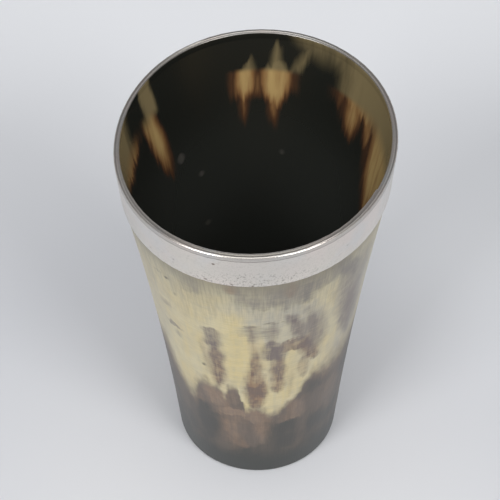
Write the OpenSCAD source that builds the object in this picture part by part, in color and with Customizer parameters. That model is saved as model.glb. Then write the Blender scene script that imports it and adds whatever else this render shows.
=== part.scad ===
// Horn drinking cup: a flared horn wall, round at the foot and slightly oval at the mouth,
// with a base disc sprung into a groove and a silver mount cemented round the lip.
// Millimetres, +Z up, origin at the middle of the foot on the table, front towards -Y.

/* [Cup] */
// Height from the table to the top of the silver lip
cup_h = 114; // [95:1:140]
// Mean outside diameter over the silver at the lip
mouth_d = 76.6; // [70:1:84]
// Outside diameter of the foot
foot_d = 45.6; // [40:0.2:52]
// How far the horn is drawn in below the mouth's radius, just under the collar
throat_in = 1.5; // [1.3:0.1:2.6]
// Sag of the wall inside a straight taper, as a share of that taper
flare_share = 0.38; // [0.1:0.02:0.5]
// How far the mouth is out of round, as a share of its radius
oval_share = 0.07; // [0:0.0025:0.08]
// Turn of the mouth's long axis from +X, in degrees
oval_turn = 80; // [0:5:180]

/* [Horn wall] */
// Wall thickness at the foot
wall_foot = 3.2; // [2.6:0.1:4]
// Rounding of the foot's outer edge
foot_round = 1.2; // [0.4:0.1:1.6]
// Bevel of the foot's inner edge
foot_bevel = 0.5; // [0.2:0.1:0.8]

/* [Base disc] */
// Thickness of the base disc
base_t = 3; // [2.4:0.1:4]
// Height of the disc's underside above the table
base_recess = 3; // [1.5:0.1:5]
// Depth of the groove that holds the disc
croze_depth = 1; // [0.6:0.1:1.4]
// Height of the disc's tongue at its root
tongue_h = 1.8; // [1.2:0.1:2.2]
// Width of the sealing bead in the corner above the disc
seal_w = 1.2; // [0.8:0.1:2]

/* [Silver collar] */
// Height from the collar's lower edge to the top of the lip
collar_h = 12.1; // [9:0.1:18]
// Thickness of the collar's sheet
collar_t = 0.5; // [0.35:0.05:0.6]
// How far the collar's lower edge stands out from the horn below it
collar_stand = 0.4; // [0.25:0.05:0.6]
// Thickness of the cement layer between collar and horn, running gaps included
cement_t = 0.15; // [0.12:0.01:0.25]

/* [Silver lip] */
// Width of the lip, seen from above
lip_w = 1.66; // [1.5:0.02:2.2]
// Thickness of the silver over the end of the horn
lip_t = 0.55; // [0.45:0.05:0.8]
// Height of the lip's outer leg, down to its joint with the collar
lip_leg = 1.5; // [1.2:0.1:2.2]
// Radius of the lip's outer shoulder
shoulder_r = 0.5; // [0.3:0.05:0.6]
// Depth of the hollow line that runs round the top of the lip
hollow_depth = 0.18; // [0.05:0.01:0.25]
// Height of the flange that is turned down inside the mouth
flange_h = 1.4; // [1:0.1:2.4]
// Thickness of that flange
flange_t = 0.3; // [0.25:0.05:0.4]
// How far the flange stands in from the horn below it
flange_stand = 0.12; // [0.05:0.01:0.2]
// Turn of the lap seam in the lip from +X, in degrees
seam_turn = -32; // [-180:1:180]
// Step of the upper end over the lower one at the seam
lap_t = 0.35; // [0.1:0.05:0.5]
// Turn over which the lapped end thins away, in degrees
lap_turn = 26; // [10:1:60]

/* [Hidden] */

// Sides of every oval ring, steps along the wall and steps of a rounding
ring_sides = 72;
wall_steps = 11;
round_steps = 4;
// Sides of the round pieces
round_sides = 96;

// Gap round the base disc, and the gaps that solder and cement leave
edge_play = 0.06;
solder_gap = 0.03;
cement_play = 0.02;
// Turn that the seam's step takes, in degrees
seam_step_turn = 0.4;
// Rounding of the collar's lower edge
collar_edge_r = 0.14;

mouth_r = mouth_d / 2;
foot_r = foot_d / 2;
throat_r = mouth_r - throat_in;
throat_z = cup_h - collar_h;

// Heights along the lip, from the top down
horn_top_z = cup_h - lip_t - solder_gap;
flange_end_z = cup_h - lip_t - flange_h;
rebate_z = flange_end_z - solder_gap;
lip_joint_z = cup_h - lip_leg;

// Radii at the lip
crest_r = mouth_r - lip_w;
rebate_r = crest_r + flange_t + cement_play;
inner_lip_r = crest_r + flange_stand;
inner_foot_r = foot_r - wall_foot;

// Heights of the base disc, its tongue and the groove
disc_top_z = base_recess + base_t;
disc_mid_z = base_recess + base_t / 2;
tongue_tip_h = tongue_h - croze_depth;
round_h = disc_top_z + seal_w;

// The turns at which every oval ring has a corner: a step at the seam, then even turns
turns = [for (k = [0 : ring_sides]) seam_turn + (k == 0 ? seam_step_turn : 360 * k / ring_sides)];

// Share of the taper reached at a share of the height
function flare(share) = share + flare_share * share * (share - 1);

// Horn wall: outside up to the collar, and inside up to the silver flange
function outer_r(z) = foot_r + (throat_r - foot_r) * flare(z / throat_z);
function inner_r(z) = inner_foot_r + (inner_lip_r - inner_foot_r) * flare(z / rebate_z);

// Collar: straight outside face from its lower edge to the lip's shoulder
collar_foot_r = throat_r + collar_stand;
function collar_r(z) =
    collar_foot_r + (mouth_r - collar_foot_r) * (z - throat_z) / (cup_h - shoulder_r - throat_z);
function collar_bore_r(z) = collar_r(z) - collar_t;
function seat_r(z) = collar_bore_r(z) - cement_t;

// How far out of round the cup is at a height: none at the foot, the whole of it at the lip
function oval_at(z) = oval_share * max(0, z - round_h) / (cup_h - round_h);
function oval_point(p, turn) =
    let (r = p[0] * (1 + oval_at(p[1]) * cos(2 * (turn - oval_turn))))
    [r * cos(turn), r * sin(turn), p[1]];

// How much of the lap's thickness is left at a turn, going clockwise from the seam
function lap_share(turn) =
    let (past = (seam_turn - turn + 720) % 360)
    past < lap_turn ? 1 - past / lap_turn : 0;

// Points of a round, given its centre, its radius and its two end directions
function rounding(r, z, radius, from, to) =
    [for (i = [0 : round_steps])
        let (a = from + (to - from) * i / round_steps)
        [r + radius * cos(a), z + radius * sin(a)]];

// Points down or up a wall whose radius is given at each height by the caller
function heights(from, to) = [for (i = [0 : wall_steps]) from + (to - from) * i / wall_steps];

// Section of the horn wall: up the outside, over the lip and down the inside to the foot
function horn_section() = concat(
    rounding(outer_r(foot_round) - foot_round, foot_round, foot_round, -90, 0),
    [for (z = heights(foot_round, throat_z)) if (z > foot_round) [outer_r(z), z]],
    [[seat_r(throat_z), throat_z], [seat_r(horn_top_z), horn_top_z]],
    [[rebate_r, horn_top_z], [rebate_r, rebate_z]],
    [for (z = heights(rebate_z, disc_mid_z + tongue_h / 2 + edge_play)) [inner_r(z), z]],
    croze_section(),
    [[inner_r(foot_bevel), foot_bevel], [inner_r(0) + foot_bevel, 0]]);

// The groove's floor and its lower lip
function croze_section() =
    let (floor_r = inner_r(disc_mid_z) + croze_depth,
         half_floor = tongue_tip_h / 2 + edge_play,
         half_mouth = tongue_h / 2 + edge_play)
    [[floor_r, disc_mid_z + half_floor],
     [floor_r, disc_mid_z - half_floor],
     [inner_r(disc_mid_z - half_mouth), disc_mid_z - half_mouth]];

// Section of the collar: a straight sheet with its lower outside edge rounded
function collar_section() =
    let (low_z = throat_z + solder_gap)
    concat(
        [[collar_bore_r(low_z), low_z]],
        rounding(collar_r(low_z) - collar_edge_r, low_z + collar_edge_r, collar_edge_r, -90, 0),
        [[collar_r(lip_joint_z), lip_joint_z], [collar_bore_r(lip_joint_z), lip_joint_z]]);

// Section of the cement that fills the space between the collar and its seat
function cement_section() =
    let (low_z = throat_z + solder_gap, high_z = lip_joint_z)
    [[seat_r(low_z) + cement_play, low_z],
     [collar_bore_r(low_z) - cement_play, low_z],
     [collar_bore_r(high_z) - cement_play, high_z],
     [seat_r(high_z) + cement_play, high_z]];

// Section of the lip: outer leg, round shoulder, hollow line, inner bead and turned-down flange.
// The lap moves the bead and the flange's face inwards.
function lip_section(lap) =
    let (leg_z = lip_joint_z + solder_gap,
         face_r = crest_r - lap,
         top_w = lip_w - shoulder_r,
         bead_r = top_w / 4,
         hollow_r = mouth_r - shoulder_r - top_w / 3)
    concat(
        [[collar_r(leg_z), leg_z]],
        rounding(mouth_r - shoulder_r, cup_h - shoulder_r, shoulder_r, 0, 90),
        [[hollow_r, cup_h - hollow_depth]],
        rounding(face_r + bead_r, cup_h - bead_r, bead_r, 90, 180),
        [[face_r, flange_end_z],
         [crest_r + flange_t, flange_end_z],
         [crest_r + flange_t, cup_h - lip_t],
         [collar_bore_r(cup_h - lip_t), cup_h - lip_t],
         [collar_bore_r(leg_z), leg_z]]);

// Closes a row of wall sections, one for each turn, into one solid ring
module oval_ring(sections) {
    count = len(turns);
    n = len(sections[0]);
    corners = [for (t = [0 : count - 1], p = sections[t]) oval_point(p, turns[t])];
    faces = [for (t = [0 : count - 1], i = [0 : n - 1])
        let (u = (t + 1) % count, j = (i + 1) % n)
        each [[t * n + i, t * n + j, u * n + j], [t * n + i, u * n + j, u * n + i]]];
    polyhedron(points = corners, faces = faces);
}

module horn_body() {
    color("#b5a27c") oval_ring([for (turn = turns) horn_section()]);
}

module base_disc() {
    half_tongue = tongue_h / 2;
    half_tip = tongue_tip_h / 2;
    tip_r = inner_r(disc_mid_z) + croze_depth - edge_play;
    color("#3d3830")
        rotate_extrude($fn = round_sides)
            polygon([
                [0, base_recess],
                [inner_r(base_recess) - edge_play, base_recess],
                [inner_r(disc_mid_z - half_tongue) - edge_play, disc_mid_z - half_tongue],
                [tip_r, disc_mid_z - half_tip],
                [tip_r, disc_mid_z + half_tip],
                [inner_r(disc_mid_z + half_tongue) - edge_play, disc_mid_z + half_tongue],
                [inner_r(disc_top_z) - edge_play, disc_top_z],
                [0, disc_top_z]]);
}

// A bead with a hollow face, in the corner between the disc and the wall
module base_seal() {
    low_z = disc_top_z + edge_play;
    high_z = disc_top_z + seal_w;
    reach = seal_w - edge_play;
    wall_r = inner_r(low_z) - edge_play;
    color("#6a5636")
        rotate_extrude($fn = round_sides)
            polygon(concat(
                [[wall_r, low_z], [inner_r(high_z) - edge_play, high_z]],
                [for (p = rounding(wall_r - seal_w, low_z + seal_w, reach, -10, -80)) p],
                [[wall_r - seal_w, low_z]]));
}

module collar_band() {
    color("#c6c1bd") oval_ring([for (turn = turns) collar_section()]);
}

module collar_cement() {
    color("#54422c") oval_ring([for (turn = turns) cement_section()]);
}

module lip_ring() {
    color("#d3cfcc") oval_ring([for (turn = turns) lip_section(lap_t * lap_share(turn))]);
}

horn_body();
base_disc();
base_seal();
collar_band();
collar_cement();
lip_ring();
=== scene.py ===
"""A horn drinking cup with a silver collar and lip, standing on a pale studio floor.

Lengths are metres and turns are degrees, except in the node materials, where a place on the cup is
its turn in degrees from the front, clockwise from above, and its height in millimetres.
"""
from math import atan2, cos, degrees, radians, sin

import bpy
from mathutils import Matrix, Vector
from numpy import interp


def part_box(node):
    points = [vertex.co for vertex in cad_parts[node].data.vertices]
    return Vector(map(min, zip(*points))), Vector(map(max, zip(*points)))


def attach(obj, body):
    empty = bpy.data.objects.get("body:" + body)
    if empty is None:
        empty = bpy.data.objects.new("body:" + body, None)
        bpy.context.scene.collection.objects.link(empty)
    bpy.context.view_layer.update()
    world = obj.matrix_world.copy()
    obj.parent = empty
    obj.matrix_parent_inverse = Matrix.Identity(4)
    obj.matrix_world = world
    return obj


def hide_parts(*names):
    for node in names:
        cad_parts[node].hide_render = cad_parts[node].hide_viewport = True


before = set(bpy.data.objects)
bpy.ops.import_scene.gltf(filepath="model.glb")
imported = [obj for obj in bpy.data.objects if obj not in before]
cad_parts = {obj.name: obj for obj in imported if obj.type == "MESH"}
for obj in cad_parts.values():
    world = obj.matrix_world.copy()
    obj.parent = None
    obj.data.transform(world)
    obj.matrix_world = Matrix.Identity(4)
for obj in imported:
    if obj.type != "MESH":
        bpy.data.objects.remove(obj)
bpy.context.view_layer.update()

MM = 0.001
PER_METRE = 1000
# Angle past which an edge of a smooth piece stays sharp
CREASE = 35

# Camera, fitted to the photograph's edges, with its focal length in pixels
PHOTO_PX = 500
FOCAL_PX = 1852.6
SENSOR = 36
CAMERA_BACK = 0.3305
CAMERA_UP = 0.4444
LOOK_DOWN = 48.48
LOOK_LEFT = 0.315
ROLL = -0.51

# Studio
FLOOR_SIDE = 6.0
# The floor is FLOOR_NEAR in front and is painted paler towards the back; this is painted light, standing in
# for the way the light and the cup's shadows fall across it
FLOOR_NEAR = (0.665, 0.675, 0.71, 1)
FLOOR_FOOT_PAINTED_LIGHT = (0.755, 0.76, 0.785, 1)
FLOOR_FAR_PAINTED_LIGHT = (0.87, 0.88, 0.91, 1)
FLOOR_RIGHT_PAINTED_LIGHT = (0.80, 0.81, 0.84, 1)
# Patches of painted light on the floor, lighter to the right of the cup and round its foot where its shadow
# would fall: colour, middle, and the distances at which each begins to fade and ends
FLOOR_PAINTED_LIGHT_PATCHES = (
    (FLOOR_RIGHT_PAINTED_LIGHT, (0.062, 0.06, 0), 0, 0.075),
    (FLOOR_FOOT_PAINTED_LIGHT, (0, -0.03, 0), 0.03, 0.11))
BACKDROP = (0.66, 0.67, 0.70, 1)
CEILING = (0.30, 0.30, 0.31, 1)
SKYLIGHT = (0.9, 0.9, 0.9, 1)
SKY = (0.97, 0.985, 1.0, 1)
SKY_STRENGTH = 0.38
LAMP_AIM = (0, 0, 0.06)
LAMPS = {
    "top_softbox": dict(place=(0, -0.3, 1.25), side=1.3, power=4.2),
    "left_softbox": dict(place=(-0.66, -0.78, 0.85), side=0.5, power=6.3),
    "right_softbox": dict(place=(0.66, -0.78, 0.85), side=0.5, power=5.5),
}

# Heights on the cup, in millimetres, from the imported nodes
COLLAR_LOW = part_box("collar_band")[0].z * PER_METRE
COLLAR_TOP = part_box("collar_band")[1].z * PER_METRE
CUP_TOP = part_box("lip_ring")[1].z * PER_METRE
# How far the brushed zone, and the grime with painted shade just beneath the collar, reach down from the
# collar
BRUSHED_REACH = 16
GRIME_AND_SHADE_REACH = 6.5

# Silver, its tarnish and painted shade, and the places of its specks, pits and painted shade patch, laid as
# the marks below are
SILVER = (0.77, 0.73, 0.665, 1)
PINK_SILVER = (0.80, 0.73, 0.675, 1)
COOL_SILVER = (0.745, 0.73, 0.70, 1)
PIT_GREY = (0.37, 0.35, 0.32, 1)
PIT_BROWN = (0.16, 0.12, 0.085, 1)
TARNISHED_AND_SHADED_SILVER = (0.13, 0.12, 0.105, 1)
SHADED_SILVER = (0.665, 0.635, 0.59, 1)
SILVER_ROUGH = (0.16, 0.30)
TARNISH_AND_SHADE = "tarnish_and_shade"
# Dark specks: size in millimetres, lowest noise that shows one, and share of their colour
SPECKS = ((0.45, 0.58, 0.6), (0.8, 0.64, 0.8))
SPECKLED_PATCH = (-2, 103, 5, 5, 22, 0, 2, 1)
SILVER_PITS = (
    (-15, 110.2, 0.4, 0.4, 0.6, 0, 2, 0.8), (-18.5, 102.9, 0.3, 0.3, 0.7, 0, 2, 0.7),
    (-9, 102.7, 0.3, 0.3, 0.5, 0, 2, 0.7), (-1.5, 102.3, 0.4, 0.4, 0.5, 0, 2, 0.7),
    (-31, 106, 0.3, 0.3, 0.4, 0, 2, 0.5), (-43, 104, 0.3, 0.3, 0.5, 0, 2, 0.5),
    (14, 105.5, 0.3, 0.3, 0.3, 0, 2, 0.4), (36, 107, 0.3, 0.3, 0.3, 0, 2, 0.5),
    (118, 106, 0.4, 0.4, 0.7, 0, 2, 0.6), (-150, 105, 0.4, 0.4, 0.6, 0, 2, 0.6))
# The patch in front is painted shade, for a darker reflection of the room there
SHADED_PATCHES = ((1, 108, 7, 8, 16, 0, 2, 0.8),)
# Tarnish and painted shade across the lip, by the share of its width in from the outside: in front and
# elsewhere, and the turns between which the one gives way to the other. Besides tarnish, the darkening of the
# hollow and the inner bead is painted shade, standing in for the dark room they reflect.
TARNISH_AND_SHADE_STEPS = (0, 0.08, 0.29, 0.52, 0.81, 0.87, 0.93, 0.965)
FRONT_TARNISH_AND_SHADE = (0.25, 0.12, 0.14, 0.95, 0.15, 0.2, 0.5, 1)
OTHER_TARNISH_AND_SHADE = (0.4, 0.55, 0.65, 0.3, 0.15, 0.45, 0.85, 1)
FRONT_REACH = (30, 75)

# Radius of the tube that the horn's fibres are laid on, in millimetres
FIBRE_TUBE = 30

# Colours of the horn, for light that is a little under full
CREAM = (0.63, 0.555, 0.345, 1)
STRAW = (0.60, 0.51, 0.295, 1)
GOLD = (0.635, 0.52, 0.245, 1)
PALE_OLIVE = (0.45, 0.415, 0.29, 1)
PALE_GREY = (0.40, 0.38, 0.32, 1)
BRUSHED_OLIVE = (0.365, 0.335, 0.235, 1)
SLATE = (0.18, 0.16, 0.135, 1)
PURPLE_GREY = (0.148, 0.115, 0.105, 1)
BROWN = (0.23, 0.13, 0.07, 1)
PURPLE_BROWN = (0.145, 0.095, 0.072, 1)
WARM_BROWN = (0.215, 0.14, 0.09, 1)
MURKY_BROWN = (0.13, 0.10, 0.08, 1)
DARK_BROWN = (0.10, 0.08, 0.062, 1)
DARK_GREY = (0.047, 0.046, 0.041, 1)
FOOT_GREY = (0.036, 0.039, 0.035, 1)
SANDY = (0.30, 0.21, 0.145, 1)
GRIME_AND_SHADE = (0.21, 0.185, 0.125, 1)
RUST = (0.21, 0.115, 0.065, 1)
INK = (0.045, 0.04, 0.034, 1)

# Colours of the inside: unlit near black, a lighter near black deep down that is painted light against the
# shade there, faint pale specks, and painted light coming through the wall
INSIDE_BLACK = (0.0135, 0.0145, 0.012, 1)
INSIDE_DEEP_PAINTED_LIGHT = (0.048, 0.052, 0.047, 1)
PALE_SPECK_GREY = (0.12, 0.11, 0.10, 1)
EMBER = (0.07, 0.034, 0.018, 1)
AMBER = (0.235, 0.125, 0.05, 1)
HONEY = (0.475, 0.335, 0.14, 1)
SHADED_OLIVE = (0.235, 0.185, 0.095, 1)

# The hidden pieces' plain materials
PLAIN_MATERIALS = {
    "base_disc": dict(
        name="dark_horn", colour=(0.03, 0.026, 0.02, 1), other=(0.07, 0.055, 0.04, 1),
        rough=0.3, size_mm=6),
    "base_seal": dict(
        name="sealing_wax", colour=(0.07, 0.045, 0.02, 1), other=(0.12, 0.08, 0.04, 1),
        rough=0.6, size_mm=2),
    "collar_cement": dict(
        name="shellac_cement", colour=(0.05, 0.03, 0.015, 1), other=(0.09, 0.06, 0.03, 1),
        rough=0.5, size_mm=2),
}

# Where the outside turns dark, as (turn, height) points right round
DARK_LINE = (
    (-180, 101), (-175, 92), (-168, 104), (-142, 104), (-130, 82), (-122, 76), (-112, 94),
    (-102, 92), (-95, 78), (-88, 58), (-78, 51), (-62, 49), (-55, 43), (-48, 36), (-43, 34),
    (-38, 38.5), (-34, 43), (-29, 44.5), (-25, 43.5), (-22.5, 45), (-19.5, 41.5), (-17, 44),
    (-14.5, 47), (-9.8, 46), (-8, 35.5), (-6.3, 34.5), (-4, 36), (3, 36), (5, 33.5), (12, 33),
    (15.5, 35.5), (23, 39), (28, 44), (33, 47.5), (42, 47), (50, 47), (62, 49), (76, 55), (90, 72),
    (104, 79), (114, 93), (124, 93), (133, 92), (143, 104), (156, 105), (165, 97), (173, 90),
    (180, 101))

# Marks on the horn, as (middle, level, down, up, half width, lean, point, strength): the middle and the
# half width in degrees, the level and the reach down and up in millimetres, and the lean in degrees a
# millimetre. A point of 1 gives sharp tips, and a larger one blunter ends.
GREY_VEILS = (
    (12, 80, 12, 10, 18, 0, 2, 0.55), (52, 78, 22, 22, 12, -0.2, 2, 0.7),
    (6, 88, 9, 9, 18, 0, 2, 0.55), (63, 76, 22, 22, 12, 0, 2, 0.8), (-58, 74, 26, 26, 12, 0, 2, 0.4),
    (54, 57, 9, 8, 14, 0, 2, 0.6), (22, 58, 8, 8, 8, 0, 2, 0.2),
    (27, 77, 12, 12, 9, -0.25, 2.5, 0.5))
WORN_PATCH = (0.5, 77.3, 3.6, 3.4, 7.5, 0, 6, 0.5)
GOLDEN_PATCHES = (
    (-10, 68, 20, 20, 6, 0, 4, 0.95), (-20, 95, 9, 9, 8, 0, 3, 0.6), (-30, 88, 12, 9, 10, 0, 2, 0.4),
    (-27, 50, 12, 10, 4, 0, 3, 0.6), (6, 42, 8, 10, 3, 0, 2, 0.6), (17, 54, 13, 12, 5, 0, 4, 0.7),
    (24, 48, 8, 8, 3, 0, 3, 0.5), (-42, 42, 9, 10, 5, 0, 2, 0.4))
BROWN_MARKS = (
    (-20.5, 57, 11.5, 11, 4, 0.05, 5, 0.9), (-26.5, 60, 9, 9, 1.3, 0, 3, 0.5),
    (-0.5, 43, 6.5, 9, 5, 0, 5, 0.95), (-0.8, 46, 8, 24, 5.6, 0, 1.5, 1),
    (-1.8, 70, 9, 11, 0.9, 0, 4, 0.6), (10.5, 54, 10, 10, 3.6, 0, 4, 0.95),
    (27, 61.5, 6, 7, 4.4, -0.7, 4, 0.9), (18.5, 67.5, 3.2, 4, 7.5, -0.5, 5, 0.85),
    (25, 54, 6, 6, 3, -0.2, 3, 0.6), (18.5, 48, 7, 7, 1.5, 0, 3, 0.3))
WARM_PATCHES = (
    (-27, 38, 9, 8, 12, 0, 5, 1), (-14, 41, 8, 6, 6, 0, 4, 0.9), (-8, 27, 14, 9, 16, 0.2, 5, 0.95),
    (-20, 16, 6, 6, 9, 0, 3, 0.5), (19, 33, 7, 7, 14, 0, 4, 0.75), (27, 24, 8, 8, 4, 0, 3, 0.5),
    (27, 13, 4, 4, 5, 0, 2, 0.4), (42, 32, 9, 8, 10, 0, 2, 0.4), (52, 30, 10, 9, 9, 0, 2, 0.45))
SANDY_PATCHES = (
    (-13, 33.5, 2.2, 2.6, 10, 1.2, 4, 0.6), (-3, 33, 5, 4, 6, 0, 3, 0.5),
    (-27, 40, 6, 5, 8, 0, 2, 0.6), (-13, 44, 4, 4, 4, 0, 2, 0.4), (-14, 25, 8, 7, 4, 0, 3, 0.35),
    (3, 25, 9, 8, 4, 0, 3, 0.3), (24, 31, 5, 6, 6, 0, 3, 0.4), (52, 32, 8, 8, 8, 0, 2, 0.15))
DARK_PATCHES = (
    (-36, 27, 7, 6, 9, 0, 3, 0.95), (-30, 20, 6, 6.5, 7, 0.4, 3, 0.9),
    (18.5, 20, 8, 7.5, 8.5, 0, 4, 0.95), (14, 11, 6, 9, 4.5, 0, 4, 0.8), (0, 12, 4, 4, 9, 0, 3, 0.5),
    (41, 44, 5.5, 5, 9, 0, 3, 0.85))
PURPLE_MARKS = (
    (-21.2, 72, 5, 4.6, 3.8, 0, 6, 1), (-20, 65, 7, 7, 3.4, 0, 5, 0.5),
    (6.5, 67.4, 5, 5.2, 4.8, 0, 5, 0.9), (10.6, 66, 4.4, 3.8, 3.4, 0, 4, 0.9),
    (10, 61, 7, 6, 3.2, 0, 3, 0.7), (7, 76, 6.5, 6.5, 1.4, 0, 3, 0.7),
    (-1.8, 76, 5, 4.5, 1, 0, 3, 0.45), (16.6, 78, 9, 8, 3, -0.45, 3, 1),
    (24, 81, 6, 6, 2.2, -0.4, 3, 0.6), (-43.5, 67.6, 1.5, 1.5, 5.5, 0, 2, 0.7),
    (-46.5, 77.5, 1.8, 1.8, 3, 0, 2, 0.5), (-42, 64, 1.2, 1.2, 1.4, 0, 2, 0.5))
PURPLE_CLOUDS = (
    (27, 71, 11, 12, 7, -0.3, 2.5, 0.85), (47.5, 77, 18, 20, 7.5, -0.4, 2.5, 0.75),
    (55, 69, 15, 14, 9, -0.2, 2, 0.65), (54, 87, 9, 9, 6, -0.5, 2.5, 0.5),
    (36, 97, 8, 8, 3, -0.8, 3, 0.6))
BRUSHED_MARKS = (
    (-26, 97, 6, 6, 4.5, 0, 3, 0.45), (2, 98, 10, 8, 11, 0, 3, 0.65), (12, 96, 9, 9, 6, 0, 3, 0.6),
    (20, 96.5, 8, 8, 5, 0, 3, 0.95), (30, 98, 7, 7, 8, 0, 3, 0.6), (40, 97, 11, 9, 5, -0.8, 3, 1),
    (55, 88, 9, 9, 10, -0.2, 2, 0.2))
RED_MARKS = ((-9.8, 100.3, 3.6, 4, 1.9, 0, 3, 1), (13, 97, 4, 6, 2.4, 0, 2, 0.4))
NICKS = (
    (-44.5, 92.6, 1, 1, 2, 2.2, 2, 1), (-39, 92.4, 0.8, 0.8, 1.2, 1, 2, 0.8),
    (-36.4, 86.3, 0.8, 0.8, 0.7, 0.3, 2, 0.8), (-28.3, 55, 0.8, 0.8, 1.2, 0.6, 2, 0.8),
    (-3.2, 80.7, 0.7, 0.7, 3.2, 0, 2, 0.5), (7, 81.9, 0.7, 0.7, 4.6, 0, 2, 0.6))

# Places inside where the horn lets light through, below the collar and behind it
AMBER_FIELDS = (
    (88, 104, 44, 60, 26, 0, 2.5, 1.08), (112, 95, 18, 20, 4, 0.1, 2, 0.8),
    (127, 104, 9, 60, 13, 0, 2, 0.85), (131.5, 102, 12.5, 60, 4.8, 0, 5, 0.98),
    (120.3, 102, 11.5, 60, 3.4, 0, 5, 0.95), (138.5, 104, 9, 60, 6, 0, 2, 0.42),
    (0, 104, 80, 60, 74, 0, 1.8, 0.85), (-94, 103, 8, 60, 16, 0, 2, 0.75))
AMBER_WINDOWS = (
    (171.2, 99, 10, 60, 6.3, 0, 1.5, 1), (172.2, 95, 13, 10, 1.8, 0, 1.4, 0.75),
    (163.5, 100, 7, 60, 1.8, 0, 2, 0.35), (184.8, 99, 9.5, 60, 4.3, -0.1, 1.5, 1),
    (185.6, 94, 11, 9, 1.4, 0, 1.4, 0.65), (190.8, 100, 8, 60, 1.1, 0, 3, 0.4),
    (179.2, 98, 6, 6, 2, 0, 3, 0.6), (-121.6, 102, 27, 60, 5.2, 0.4, 3, 1))
DARK_STREAKS = (
    (115.5, 94, 14, 9, 1.2, 0, 3, 0.45), (124.5, 96, 6, 5, 1.4, 0, 2, 0.5))
OLIVE_FIELDS = (
    (96, 108, 60, 60, 27, 0, 2, 1.2), (126, 108, 60, 60, 15, 0, 3, 1),
    (-83, 110, 60, 60, 18, 0, 2, 1.1), (0, 104, 60, 60, 75, 0, 3, 1))
OLIVE_VEILS = (
    (151, 117, 15, 20, 15, 0, 2, 0.75), (141, 112, 13, 20, 7, 0, 2, 0.55))
OLIVE_WINDOWS = (
    (171.3, 101.5, 8, 6, 6.2, 0, 1.1, 0.8), (171.6, 104, 8, 9, 2.4, 0, 2, 0.75),
    (164.5, 102, 6, 17, 2.8, -0.75, 5, 0.55), (183.8, 101.5, 8, 5.4, 4.2, -0.3, 1.1, 0.7),
    (-124.5, 106, 14, 18, 4.4, 0.2, 4, 1.15))
DULL_SPECKS = (
    (-138, 83, 1.8, 1.8, 2.2, 0, 2, 0.5), (-149.3, 74.3, 1, 1, 1.4, 0, 2, 0.6),
    (-149.3, 57, 1, 1, 2, 0, 2, 0.6), (167, 77.5, 0.9, 0.9, 0.9, 0, 2, 0.5))


def add(tree, kind, **settings):
    """A new node with its settings."""
    node = tree.nodes.new(kind)
    for name, value in settings.items():
        setattr(node, name, value)
    return node


def feed(tree, socket, value):
    """Joins an input to another node's output, or gives it a plain value."""
    if isinstance(value, bpy.types.NodeSocket):
        tree.links.new(value, socket)
    else:
        socket.default_value = value


def calc(tree, operation, *values):
    node = add(tree, "ShaderNodeMath", operation=operation)
    for socket, value in zip(node.inputs, values):
        feed(tree, socket, value)
    return node.outputs[0]


def ease(tree, value, low, high):
    """Goes smoothly from 0 at low to 1 at high."""
    node = add(tree, "ShaderNodeMapRange", interpolation_type="SMOOTHSTEP")
    feed(tree, node.inputs["Value"], value)
    feed(tree, node.inputs["From Min"], low)
    feed(tree, node.inputs["From Max"], high)
    return node.outputs["Result"]


def span(tree, value, low, high):
    """Takes a value from 0..1 to low..high."""
    node = add(tree, "ShaderNodeMapRange")
    feed(tree, node.inputs["Value"], value)
    feed(tree, node.inputs["To Min"], low)
    feed(tree, node.inputs["To Max"], high)
    return node.outputs["Result"]


def mix(tree, share, first, second):
    node = add(tree, "ShaderNodeMix", data_type="RGBA")
    feed(tree, node.inputs[0], share)
    feed(tree, node.inputs[6], first)
    feed(tree, node.inputs[7], second)
    return node.outputs[2]


def noise(tree, place, size_mm, detail=3.0, stretch=1.0, offset=0.0):
    """Noise with spots of about size_mm, drawn out along the height by stretch."""
    mapping = add(tree, "ShaderNodeMapping")
    feed(tree, mapping.inputs["Vector"], place)
    mapping.inputs["Location"].default_value = (offset, offset, offset)
    mapping.inputs["Scale"].default_value = (1, 1, 1 / stretch)
    node = add(tree, "ShaderNodeTexNoise")
    feed(tree, node.inputs["Vector"], mapping.outputs[0])
    node.inputs["Scale"].default_value = PER_METRE / size_mm
    node.inputs["Detail"].default_value = detail
    return node.outputs["Fac"]


def round_curve(tree, turn, heights, top):
    """A height for each turn round the cup, from (turn, height) points, smooth and closed at the back."""
    share = calc(tree, "ADD", calc(tree, "DIVIDE", turn, 360), 0.5)
    node = add(tree, "ShaderNodeFloatCurve")
    feed(tree, node.inputs["Value"], share)
    points = [(t / 360 + 0.5, h / top) for t, h in heights]
    curve = node.mapping.curves[0].points
    while len(curve) < len(points):
        curve.new(0.5, 0.5)
    for point, (x, y) in zip(curve, points):
        point.location = (x, y)
    node.mapping.update()
    return calc(tree, "MULTIPLY", node.outputs[0], top)


def group(name, inputs, outputs):
    tree = bpy.data.node_groups.new(name, "ShaderNodeTree")
    for label, kind in inputs:
        tree.interface.new_socket(label, in_out="INPUT", socket_type="NodeSocket" + kind)
    for label, kind in outputs:
        tree.interface.new_socket(label, in_out="OUTPUT", socket_type="NodeSocket" + kind)
    return tree, add(tree, "NodeGroupInput").outputs, add(tree, "NodeGroupOutput").inputs


def use(tree, which, **values):
    """Puts a group into a tree, with values or links on its inputs."""
    node = add(tree, "ShaderNodeGroup", node_tree=which)
    for label, value in values.items():
        feed(tree, node.inputs[label.replace("_", " ")], value)
    return node.outputs


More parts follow.
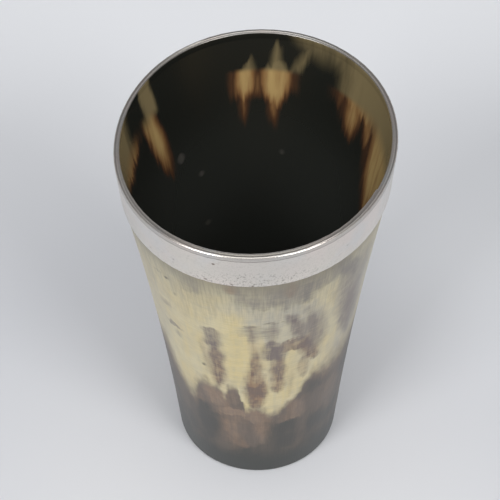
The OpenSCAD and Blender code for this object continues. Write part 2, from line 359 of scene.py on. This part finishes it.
def cup_place_group():
    """Where a point lies on the cup: its turn, its height and whether it faces the inside."""
    tree, _, out = group("cup_place", [], [("Turn", "Float"), ("Height", "Float"), ("Inside", "Float")])
    coords = add(tree, "ShaderNodeTexCoord").outputs
    split = add(tree, "ShaderNodeSeparateXYZ")
    tree.links.new(coords["Object"], split.inputs[0])
    x, y, z = split.outputs
    turn = calc(tree, "DEGREES", calc(tree, "ARCTAN2", x, calc(tree, "MULTIPLY", y, -1)))
    flat = add(tree, "ShaderNodeCombineXYZ")
    tree.links.new(x, flat.inputs[0])
    tree.links.new(y, flat.inputs[1])
    facing = add(tree, "ShaderNodeVectorMath", operation="DOT_PRODUCT")
    tree.links.new(coords["Normal"], facing.inputs[0])
    tree.links.new(flat.outputs[0], facing.inputs[1])
    tree.links.new(turn, out["Turn"])
    tree.links.new(calc(tree, "MULTIPLY", z, PER_METRE), out["Height"])
    tree.links.new(calc(tree, "LESS_THAN", facing.outputs["Value"], 0), out["Inside"])
    return tree


def tongue_group():
    """A mark that follows the horn's fibres: widest at its level, and narrowing up and down to tips
    that are sharp where Point is 1 and rounder above that. Beyond the Fade share of its reach it fades."""
    labels = ("Turn", "Height", "Middle", "Level", "Down", "Up",
              "Width", "Lean", "Edge", "Strength", "Point", "Fade")
    tree, given, out = group("tongue", [(label, "Float") for label in labels], [("Mask", "Float")])
    above = calc(tree, "SUBTRACT", given["Height"], given["Level"])
    leaning = calc(tree, "MULTIPLY", above, given["Lean"])
    off = calc(tree, "SUBTRACT", calc(tree, "SUBTRACT", given["Turn"], given["Middle"]), leaning)
    off = calc(tree, "ABSOLUTE", calc(tree, "WRAP", off, 180, -180))
    reach = calc(tree, "MAXIMUM", calc(tree, "DIVIDE", above, given["Up"]),
                 calc(tree, "MULTIPLY", calc(tree, "DIVIDE", above, given["Down"]), -1))
    half = calc(tree, "MULTIPLY", given["Width"],
                calc(tree, "SUBTRACT", 1, calc(tree, "POWER", reach, given["Point"])))
    depth = calc(tree, "SUBTRACT", half, off)
    mask = ease(tree, depth, calc(tree, "MULTIPLY", given["Edge"], -1), given["Edge"])
    mask = calc(tree, "MULTIPLY", mask, calc(tree, "SUBTRACT", 1, ease(tree, reach, given["Fade"], 1.1)))
    tree.links.new(calc(tree, "MULTIPLY", mask, given["Strength"]), out["Mask"])
    return tree


def fibres_group():
    """Upright fibres of the horn, its slow clouds, and the drift that roughens its marks. They are laid
    on a straight tube as wide as the cup, so that they run up the tapered wall unbroken."""
    labels = ("Fine", "Medium", "Blotches", "Clouds", "Turn Drift", "Height Drift")
    tree, given, out = group("fibres", [("Place", "Vector")], [(label, "Float") for label in labels])
    flat = add(tree, "ShaderNodeVectorMath", operation="MULTIPLY")
    tree.links.new(given["Place"], flat.inputs[0])
    flat.inputs[1].default_value = (1, 1, 0)
    round_it = add(tree, "ShaderNodeVectorMath", operation="NORMALIZE")
    tree.links.new(flat.outputs[0], round_it.inputs[0])
    height = add(tree, "ShaderNodeVectorMath", operation="MULTIPLY")
    tree.links.new(given["Place"], height.inputs[0])
    height.inputs[1].default_value = (0, 0, 1)
    tube = add(tree, "ShaderNodeVectorMath", operation="MULTIPLY_ADD")
    tree.links.new(round_it.outputs[0], tube.inputs[0])
    tube.inputs[1].default_value = (FIBRE_TUBE * MM,) * 3
    tree.links.new(height.outputs[0], tube.inputs[2])
    place = tube.outputs[0]
    tree.links.new(noise(tree, place, 0.36, 2, 16), out["Fine"])
    tree.links.new(noise(tree, place, 1.7, 3, 9, 0.3), out["Medium"])
    tree.links.new(noise(tree, place, 2.2, 3, 1.4, 7.7), out["Blotches"])
    tree.links.new(noise(tree, place, 8, 4, 1.5, 5.3), out["Clouds"])
    # Layers of drift: size in millimetres, stretch, offset, and reach in degrees or millimetres
    sideways = ((1.1, 4, 0.7, 3), (2.6, 1.6, 4.7, 4), (7, 1.5, 1.1, 6))
    lengthways = ((0.9, 6, 1.9, 1.4), (2.6, 1.3, 3.1, 6), (7, 1.5, 2.3, 6))
    for label, parts in (("Turn Drift", sideways), ("Height Drift", lengthways)):
        drift = -0.5 * sum(reach for *_, reach in parts)
        for size_mm, stretch, offset, reach in parts:
            drift = calc(tree, "MULTIPLY_ADD", noise(tree, place, size_mm, 2, stretch, offset), reach, drift)
        tree.links.new(drift, out[label])
    return tree


CUP_PLACE = cup_place_group()
TONGUE = tongue_group()
FIBRES = fibres_group()


def mask(tree, where, shape, edge, fade=0.85):
    """One shape of a list of marks, as a mask."""
    middle, level, down, up, width, lean, point, strength = shape
    return use(tree, TONGUE, Turn=where[0], Height=where[1], Middle=middle, Level=level, Down=down, Up=up,
               Width=width, Lean=lean, Edge=edge, Strength=strength, Point=point, Fade=fade)["Mask"]


def marks(tree, base, colour, where, shapes, edge, grain=1.0):
    """Lays marks of one colour over a base colour, grained along the fibres."""
    for shape in shapes:
        base = mix(tree, calc(tree, "MULTIPLY", mask(tree, where, shape, edge), grain), base, colour)
    return base


def windows(tree, where, shapes, edge, fade=0.2):
    """How much light comes through at a place, from 0 to 1."""
    lit = 0.0
    for shape in shapes:
        lit = calc(tree, "MAXIMUM", lit, mask(tree, where, shape, edge, fade))
    return lit


def new_material(name, **shader):
    """A material with its node tree, its Principled shader and plain values set on that shader."""
    material = bpy.data.materials.new(name)
    material.use_nodes = True
    tree = material.node_tree
    surface = tree.nodes["Principled BSDF"]
    for label, value in shader.items():
        surface.inputs[label.replace("_", " ")].default_value = value
    return material, tree, surface


def bump(tree, surface, height, distance):
    node = add(tree, "ShaderNodeBump")
    node.inputs["Strength"].default_value = 1
    node.inputs["Distance"].default_value = distance
    feed(tree, node.inputs["Height"], height)
    tree.links.new(node.outputs[0], surface.inputs["Normal"])


def horn_material():
    material, tree, surface = new_material("polished_horn", IOR=1.54)
    object_place = add(tree, "ShaderNodeTexCoord").outputs["Object"]
    place = use(tree, CUP_PLACE)
    fibres = use(tree, FIBRES, Place=object_place)
    outside = outside_colour(tree, object_place, place, fibres)
    inside = inside_colour(tree, place, fibres)
    tree.links.new(mix(tree, place["Inside"], outside, inside), surface.inputs["Base Color"])
    tree.links.new(span(tree, place["Inside"], 0.36, 0.24), surface.inputs["Roughness"])
    bump(tree, surface, fibres["Fine"], 0.02 * MM)
    return material


def drifted(tree, place, fibres, sideways, lengthways):
    """The turn and height of a point, moved by shares of the fibres' drift."""
    return (calc(tree, "MULTIPLY_ADD", fibres["Turn Drift"], sideways, place["Turn"]),
            calc(tree, "MULTIPLY_ADD", fibres["Height Drift"], lengthways, place["Height"]))


def outside_colour(tree, object_place, place, fibres):
    """Cream above and dark below, with brown and grey marks that run up the fibres."""
    where = drifted(tree, place, fibres, 0.75, 0.65)
    loose = drifted(tree, place, fibres, 1.1, 1.1)
    here = (place["Turn"], place["Height"])
    height = place["Height"]
    # The dark zone ends crisply in front and softly at the sides and back
    above = calc(tree, "SUBTRACT", loose[1], round_curve(tree, where[0], DARK_LINE, CUP_TOP))
    soft = span(tree, ease(tree, calc(tree, "ABSOLUTE", place["Turn"]), 24, 55), 1, 2.6)
    above = calc(tree, "DIVIDE", above, soft)
    strands = ease(tree, fibres["Fine"], 0.3, 0.7)
    blotches = ease(tree, fibres["Blotches"], 0.3, 0.65)
    rings = ease(tree, noise(tree, object_place, 5, 2, 0.07, 6.1), 0.4, 0.62)
    grain = calc(tree, "MULTIPLY", span(tree, strands, 0.84, 1.06), span(tree, rings, 0.86, 1.04))
    grain = calc(tree, "MULTIPLY", grain, span(tree, blotches, 0.8, 1.1))
    grain = calc(tree, "MULTIPLY", grain, span(tree, ease(tree, fibres["Medium"], 0.32, 0.6), 0.84, 1.07))
    growth = ease(tree, noise(tree, object_place, 9, 3, 0.3, 4.1), 0.4, 0.7)

    cream = mix(tree, ease(tree, fibres["Clouds"], 0.4, 0.65), CREAM, STRAW)
    golden = calc(tree, "MULTIPLY", ease(tree, noise(tree, object_place, 3, 2, 8, 2.2), 0.5, 0.68), 0.5)
    cream = mix(tree, golden, cream, GOLD)
    cream = marks(tree, cream, GOLD, loose, GOLDEN_PATCHES, 5, grain)
    strips = ease(tree, fibres["Medium"], 0.48, 0.75)
    for layer, share in ((growth, 0.25), (strips, 0.35), (ease(tree, fibres["Blotches"], 0.5, 0.7), 0.25)):
        cream = mix(tree, calc(tree, "MULTIPLY", layer, share), cream, PALE_OLIVE)
    cream = marks(tree, cream, PALE_GREY, loose, GREY_VEILS, 7, grain)
    cream = marks(tree, cream, SLATE, where, (WORN_PATCH,), 2.5, span(tree, rings, 0.3, 1))
    brown = mix(tree, blotches, BROWN, PURPLE_BROWN)
    cream = marks(tree, cream, brown, where, BROWN_MARKS, 2.6, grain)
    cream = marks(tree, cream, PURPLE_GREY, where, PURPLE_MARKS, 2.8, grain)
    cream = marks(tree, cream, PURPLE_GREY, loose, PURPLE_CLOUDS, 6, span(tree, grain, 0.2, 0.95))

    # Below the collar the horn is greyer and brushed with fine dark fibres, and darker at the joint: partly
    # grime and partly painted shade under the collar's edge
    band = calc(tree, "MULTIPLY_ADD", fibres["Medium"], 8, height)
    band = ease(tree, band, COLLAR_LOW - BRUSHED_REACH, COLLAR_LOW + 3)
    cream = mix(tree, calc(tree, "MULTIPLY", band, 0.7), cream, BRUSHED_OLIVE)
    cream = marks(tree, cream, SLATE, loose, BRUSHED_MARKS, 3.5, grain)
    cream = marks(tree, cream, RUST, here, RED_MARKS, 2, grain)
    brushed = calc(tree, "MULTIPLY_ADD", fibres["Clouds"], 30, height)
    brushed = ease(tree, brushed, COLLAR_LOW - BRUSHED_REACH, COLLAR_LOW + 12)
    brushed = calc(tree, "MULTIPLY", brushed, ease(tree, fibres["Fine"], 0.36, 0.7))
    cream = mix(tree, calc(tree, "MULTIPLY", brushed, 0.42), cream, SLATE)
    cream = mix(tree, calc(tree, "MULTIPLY", ease(tree, rings, 0.5, 1), 0.1), cream, SLATE)
    # Painted shade and grime: darker just beneath the collar
    grime_and_shade = calc(tree, "MULTIPLY", ease(tree, height, COLLAR_LOW - GRIME_AND_SHADE_REACH, COLLAR_LOW), 0.6)
    cream = mix(tree, grime_and_shade, cream, GRIME_AND_SHADE)
    cream = marks(tree, cream, INK, here, NICKS, 0.9, blotches)

    # The dark zone, with warmer and sandier patches and dark threads
    dark = mix(tree, ease(tree, fibres["Clouds"], 0.35, 0.65), DARK_GREY, DARK_BROWN)
    warm = mix(tree, ease(tree, fibres["Clouds"], 0.4, 0.62), WARM_BROWN, MURKY_BROWN)
    warm = mix(tree, calc(tree, "MULTIPLY", ease(tree, fibres["Medium"], 0.42, 0.66), 0.5), warm, MURKY_BROWN)
    dark = marks(tree, dark, warm, where, WARM_PATCHES, 5, grain)
    dark = marks(tree, dark, SANDY, loose, SANDY_PATCHES, 4, grain)
    dark = marks(tree, dark, DARK_GREY, loose, DARK_PATCHES, 6, grain)
    threads = calc(tree, "MULTIPLY", ease(tree, noise(tree, object_place, 1.1, 3, 9, 8.4), 0.42, 0.66), 0.4)
    dark = mix(tree, threads, dark, mix(tree, 0.5, dark, INK))
    colour = mix(tree, ease(tree, above, -2.5, 4.5), mix(tree, 0.6, dark, warm), cream)
    colour = mix(tree, ease(tree, above, -6, 0), dark, colour)
    return mix(tree, ease(tree, height, 14, 5), colour, FOOT_GREY)


def inside_colour(tree, place, fibres):
    """Near black, with amber windows where the horn is pale; the collar shades their upper ends."""
    height = place["Height"]
    here = (place["Turn"], height)
    where = (calc(tree, "MULTIPLY_ADD", fibres["Turn Drift"], 0.25, place["Turn"]),
             calc(tree, "MULTIPLY_ADD", calc(tree, "SUBTRACT", fibres["Medium"], 0.5), 9, height))
    # Painted light: the inside is painted lighter towards the bottom, to make up for the shade deep in the
    # cup
    dark = mix(tree, ease(tree, height, 100, 45), INSIDE_BLACK, INSIDE_DEEP_PAINTED_LIGHT)
    # Faint pale specks
    dark = marks(tree, dark, PALE_SPECK_GREY, here, DULL_SPECKS, 1.5, span(tree, fibres["Blotches"], 0.3, 1.5))
    strands = span(tree, fibres["Medium"], 0.56, 1.38)
    amber = calc(tree, "MAXIMUM", windows(tree, where, AMBER_WINDOWS, 3.6),
                 windows(tree, where, AMBER_FIELDS, 8))
    amber = calc(tree, "MULTIPLY", amber, strands)
    shut = windows(tree, where, DARK_STREAKS, 1.5, 0.7)
    amber = calc(tree, "MULTIPLY", amber, calc(tree, "SUBTRACT", 1, shut))
    olive = calc(tree, "MAXIMUM", windows(tree, where, OLIVE_WINDOWS, 3.4, 0.6),
                 windows(tree, where, OLIVE_FIELDS, 9, 0.6))
    olive = calc(tree, "MAXIMUM", olive, windows(tree, here, OLIVE_VEILS, 8, 0))
    olive = calc(tree, "MULTIPLY", olive, strands)
    lit = mix(tree, ease(tree, amber, 0.02, 0.35), dark, EMBER)
    lit = mix(tree, ease(tree, amber, 0.25, 0.72), lit, AMBER)
    lit = mix(tree, ease(tree, amber, 0.55, 1.2), lit, HONEY)
    shaded = mix(tree, ease(tree, olive, 0.1, 0.95), dark, SHADED_OLIVE)
    # The collar's shade begins sharply at the back of the cup, and softly at its sides and front
    blur = calc(tree, "MULTIPLY", ease(tree, calc(tree, "ABSOLUTE", place["Turn"]), 136, 112), 3)
    low = calc(tree, "SUBTRACT", COLLAR_LOW - 0.2, blur)
    high = calc(tree, "ADD", COLLAR_LOW + 1.8, blur)
    return mix(tree, ease(tree, height, low, high), lit, shaded)


def silver_material(name, tarnished_and_shaded):
    """Worn silver: cloudy, finely scratched and pitted, dull where it is tarnished, and darkened with painted
    shade under the lip's shoulder, on a patch in front and across the lip.
    """
    material, tree, surface = new_material(name, Metallic=1.0, IOR=1.54)
    object_place = add(tree, "ShaderNodeTexCoord").outputs["Object"]
    place = use(tree, CUP_PLACE)
    here = (place["Turn"], place["Height"])
    colour = mix(tree, ease(tree, noise(tree, object_place, 13, 3), 0.4, 0.62), SILVER, PINK_SILVER)
    colour = mix(tree, ease(tree, noise(tree, object_place, 10, 3, 1, 3.0), 0.48, 0.7), colour, COOL_SILVER)
    # Painted shade: a darker patch on the front of the collar
    colour = marks(tree, colour, SHADED_SILVER, here, SHADED_PATCHES, 12)
    for size_mm, low, share in SPECKS:
        specks = ease(tree, noise(tree, object_place, size_mm, 1, 1, size_mm), low, low + 0.05)
        near = span(tree, mask(tree, here, SPECKLED_PATCH, 8), 0.25 * share, share)
        colour = mix(tree, calc(tree, "MULTIPLY", specks, near), colour, PIT_GREY)
    colour = marks(tree, colour, PIT_BROWN, here, SILVER_PITS, 0.3)
    # Painted shade with tarnish: a dark line where the lip meets the collar, beneath the lip's shoulder
    past_joint = calc(tree, "ABSOLUTE", calc(tree, "SUBTRACT", place["Height"], COLLAR_TOP + 0.1))
    joint_tarnish_and_shade = calc(tree, "MULTIPLY", ease(tree, past_joint, 0.22, 0.05), 0.5)
    colour = mix(tree, joint_tarnish_and_shade, colour, TARNISHED_AND_SHADED_SILVER)
    scratches = noise(tree, object_place, 3, 3, 0.06, 1.7)
    wear = span(tree, noise(tree, object_place, 2.5, 3), *SILVER_ROUGH)
    # On the lip the attribute darkens it as tarnish and painted shade, and near its inner edge gives it the
    # horn's inside colour
    if tarnished_and_shaded:
        tarnish_and_shade = add(tree, "ShaderNodeAttribute", attribute_name=TARNISH_AND_SHADE).outputs["Fac"]
        colour = mix(tree, tarnish_and_shade, colour, TARNISHED_AND_SHADED_SILVER)
        horn_face = ease(tree, tarnish_and_shade, 0.88, 1)
        horn_colour = inside_colour(tree, place, use(tree, FIBRES, Place=object_place))
        colour = mix(tree, horn_face, colour, horn_colour)
        tree.links.new(calc(tree, "SUBTRACT", 1, horn_face), surface.inputs["Metallic"])
    tree.links.new(colour, surface.inputs["Base Color"])
    tree.links.new(wear, surface.inputs["Roughness"])
    dents = calc(tree, "MULTIPLY_ADD", scratches, 0.25, noise(tree, object_place, 4.0, 3))
    bump(tree, surface, dents, 0.02 * MM)
    return material


def plain_material(name, colour, other, rough, size_mm):
    """A dull filler with a slow change of colour."""
    material, tree, surface = new_material(name, Roughness=rough)
    place = add(tree, "ShaderNodeTexCoord").outputs["Object"]
    tree.links.new(mix(tree, noise(tree, place, size_mm, 3), colour, other), surface.inputs["Base Color"])
    bump(tree, surface, noise(tree, place, size_mm / 2, 2), 0.05 * MM)
    return material


def smooth_copy(node, name, material):
    """A merged, smoothly shaded copy of a CAD node, which stands for it."""
    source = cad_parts[node]
    piece = bpy.data.objects.new(name, source.data.copy())
    piece.data.name = name
    bpy.context.scene.collection.objects.link(piece)
    bpy.ops.object.select_all(action="DESELECT")
    piece.select_set(True)
    bpy.context.view_layer.objects.active = piece
    bpy.ops.mesh.customdata_custom_splitnormals_clear()
    bpy.ops.object.mode_set(mode="EDIT")
    bpy.ops.mesh.select_all(action="SELECT")
    bpy.ops.mesh.remove_doubles(threshold=0.001 * MM)
    bpy.ops.mesh.tris_convert_to_quads()
    bpy.ops.object.mode_set(mode="OBJECT")
    bpy.ops.object.shade_smooth_by_angle(angle=radians(CREASE))
    piece.data.materials.clear()
    piece.data.materials.append(material)
    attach(piece, "root")
    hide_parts(node)
    return piece


def tarnish_and_shade_lip(piece):
    """Gives each corner of the lip its tarnish and painted shade, by how far across the lip and how far round
    it lies.
    """
    vertices = piece.data.vertices
    turns = [round(degrees(atan2(vertex.co.x, -vertex.co.y)), 1) for vertex in vertices]
    reaches = {}
    for turn, vertex in zip(turns, vertices):
        reaches.setdefault(turn, []).append(vertex.co.xy.length)
    tarnish_and_shade = piece.data.attributes.new(TARNISH_AND_SHADE, "FLOAT", "POINT").data
    for turn, vertex, here in zip(turns, vertices, tarnish_and_shade):
        outer, inner = max(reaches[turn]), min(reaches[turn])
        across = (outer - vertex.co.xy.length) / (outer - inner)
        front = interp(across, TARNISH_AND_SHADE_STEPS, FRONT_TARNISH_AND_SHADE)
        other = interp(across, TARNISH_AND_SHADE_STEPS, OTHER_TARNISH_AND_SHADE)
        here.value = interp(abs(turn), FRONT_REACH, (front, other))


def dress(node, material):
    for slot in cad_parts[node].material_slots:
        slot.material = material


def add_camera():
    look, left, roll = radians(LOOK_DOWN), radians(LOOK_LEFT), radians(ROLL)
    ahead = Vector((-sin(left) * cos(look), cos(left) * cos(look), -sin(look)))
    right = Vector((cos(left), sin(left), 0))
    up = right.cross(ahead)
    side = cos(roll) * right + sin(roll) * up
    top = cos(roll) * up - sin(roll) * right
    data = bpy.data.cameras.new("camera")
    data.sensor_width = SENSOR
    data.lens = FOCAL_PX * SENSOR / PHOTO_PX
    camera = bpy.data.objects.new("camera", data)
    turned = Matrix((side, top, -ahead)).transposed().to_4x4()
    camera.matrix_world = Matrix.Translation((0, -CAMERA_BACK, CAMERA_UP)) @ turned
    bpy.context.scene.collection.objects.link(camera)
    bpy.context.scene.camera = camera


def add_lamp(name, place, side, power):
    """A square softbox that looks at the cup."""
    data = bpy.data.lights.new(name, "AREA")
    data.shape = "SQUARE"
    data.size = side
    data.energy = power
    lamp = bpy.data.objects.new(name, data)
    lamp.location = place
    lamp.rotation_euler = (Vector(LAMP_AIM) - Vector(place)).to_track_quat("-Z", "Y").to_euler()
    bpy.context.scene.collection.objects.link(lamp)


def add_floor():
    bpy.ops.object.select_all(action="DESELECT")
    bpy.ops.mesh.primitive_plane_add(size=FLOOR_SIDE)
    floor = bpy.context.active_object
    floor.name = "floor"
    material, tree, surface = new_material("pale_floor", Roughness=0.7)
    place = add(tree, "ShaderNodeTexCoord").outputs["Object"]
    split = add(tree, "ShaderNodeSeparateXYZ")
    tree.links.new(place, split.inputs[0])
    # Painted light: paler towards the back, and in patches to the right of the cup and round its foot
    far = calc(tree, "MULTIPLY_ADD", noise(tree, place, 180, 2), 0.04, split.outputs[1])
    colour = mix(tree, ease(tree, far, 0.04, 0.22), FLOOR_NEAR, FLOOR_FAR_PAINTED_LIGHT)
    for patch, middle, near, edge in FLOOR_PAINTED_LIGHT_PATCHES:
        away = add(tree, "ShaderNodeVectorMath", operation="DISTANCE")
        tree.links.new(place, away.inputs[0])
        away.inputs[1].default_value = middle
        colour = mix(tree, ease(tree, away.outputs["Value"], near, edge), patch, colour)
    tree.links.new(colour, surface.inputs["Base Color"])
    floor.data.materials.append(material)


def add_sky():
    """Even light from all round. Camera, glossy and transmitted rays see the room instead: a pale
    backdrop up to head height, a dark ceiling, and a skylight overhead."""
    world = bpy.data.worlds.new("studio")
    bpy.context.scene.world = world
    world.use_nodes = True
    tree = world.node_tree
    lamp = tree.nodes["Background"]
    lamp.inputs["Color"].default_value = SKY
    lamp.inputs["Strength"].default_value = SKY_STRENGTH
    shown = add(tree, "ShaderNodeBackground")
    split = add(tree, "ShaderNodeSeparateXYZ")
    tree.links.new(add(tree, "ShaderNodeTexCoord").outputs["Generated"], split.inputs[0])
    room = mix(tree, ease(tree, split.outputs[2], 0.30, 0.48), BACKDROP, CEILING)
    room = mix(tree, ease(tree, split.outputs[2], 0.90, 0.96), room, SKYLIGHT)
    tree.links.new(room, shown.inputs["Color"])
    rays = add(tree, "ShaderNodeLightPath").outputs
    seen = calc(tree, "MAXIMUM", rays["Is Camera Ray"],
                calc(tree, "MAXIMUM", rays["Is Glossy Ray"], rays["Is Transmission Ray"]))
    pick = add(tree, "ShaderNodeMixShader")
    tree.links.new(seen, pick.inputs[0])
    tree.links.new(lamp.outputs[0], pick.inputs[1])
    tree.links.new(shown.outputs[0], pick.inputs[2])
    tree.links.new(pick.outputs[0], tree.nodes["World Output"].inputs["Surface"])


bpy.context.scene.view_settings.view_transform = "Standard"
add_camera()
add_sky()
for name, facts in LAMPS.items():
    add_lamp(name, **facts)
add_floor()

horn = horn_material()
silver = silver_material("worn_silver", tarnished_and_shaded=False)
lip_silver = silver_material("lip_silver", tarnished_and_shaded=True)
smooth_copy("horn_body", "horn_wall", horn)
smooth_copy("collar_band", "silver_collar", silver)
tarnish_and_shade_lip(smooth_copy("lip_ring", "silver_lip", lip_silver))
for node, facts in PLAIN_MATERIALS.items():
    dress(node, plain_material(**facts))
